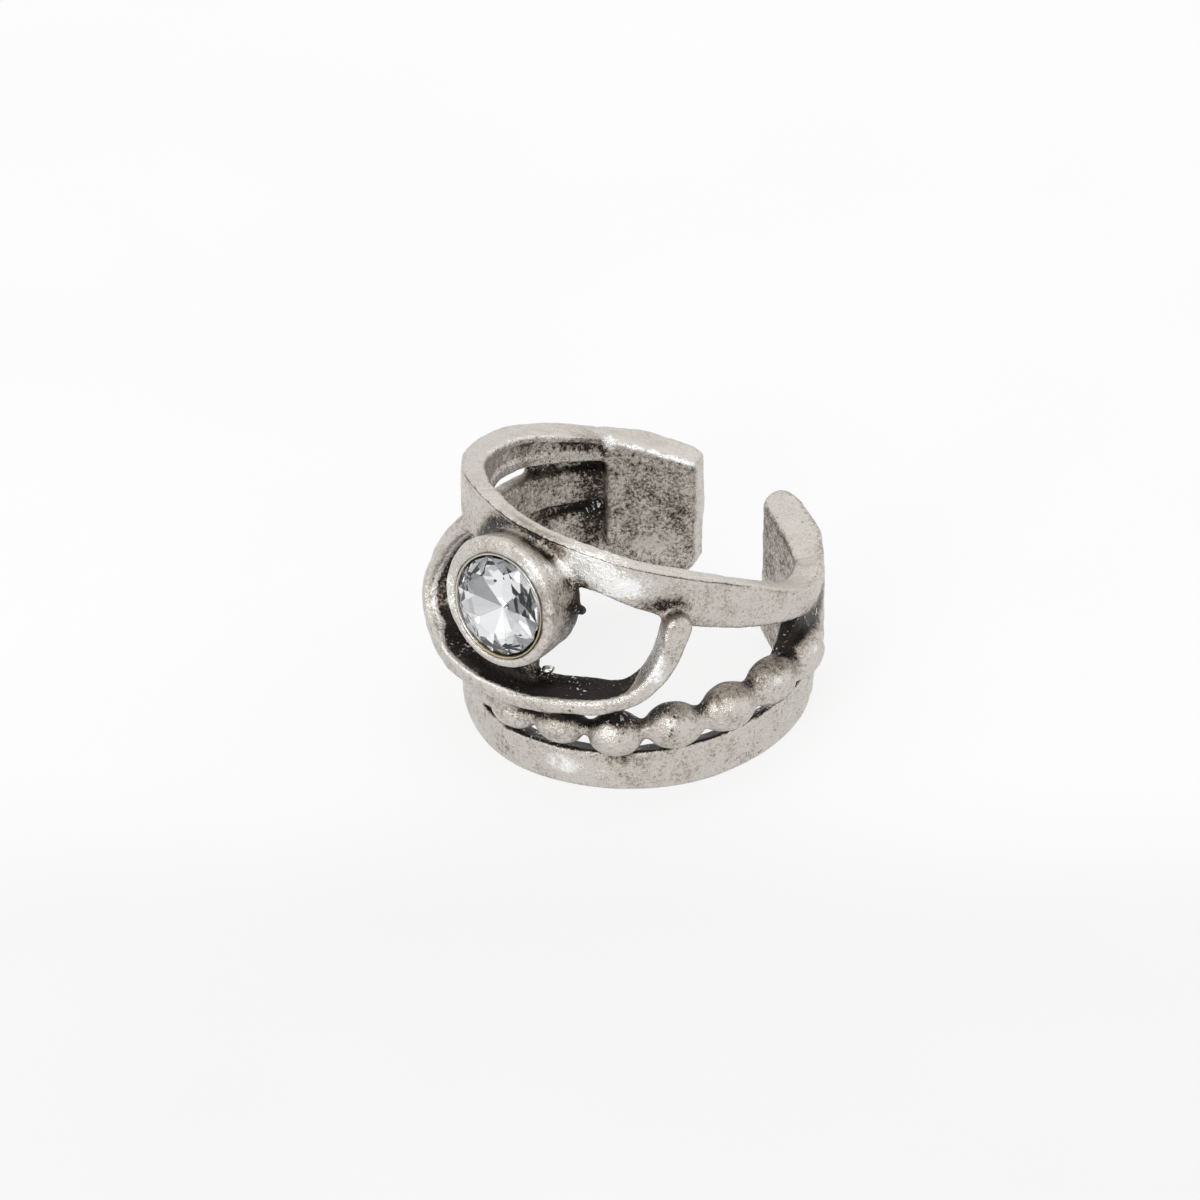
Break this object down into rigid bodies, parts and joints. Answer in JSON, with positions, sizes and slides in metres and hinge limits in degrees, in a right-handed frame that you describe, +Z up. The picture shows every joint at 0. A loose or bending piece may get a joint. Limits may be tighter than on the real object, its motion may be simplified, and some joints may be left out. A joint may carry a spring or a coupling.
{
  "type": "layered open ring",
  "caption": "Open cuff finger ring of layered cast strands with a bead row, an edge-on loop and a tube setting that holds a round faceted stone; lies on its side.",
  "frame": {"origin": "middle of the object's base on the surface it lies on; the finger hole's axis stands at x -0.63 mm, y 1.28 mm", "axes": "+Z up along the finger hole's axis; the stone faces -Y and tilts up; the open ends face +Y"},
  "size_m": [0.0222, 0.0234, 0.0166],
  "materials": {
    "antiqued_silver": "worn satin silver plate with dark patina in the recesses",
    "gilt_cup": "polished pale gilt",
    "crystal": "clear foiled glass crystal, faceted"
  },
  "bodies": {
    "root": {"metalwork": "antiqued_silver", "stone_cup": "gilt_cup", "stone": "crystal"}
  },
  "joints": []
}
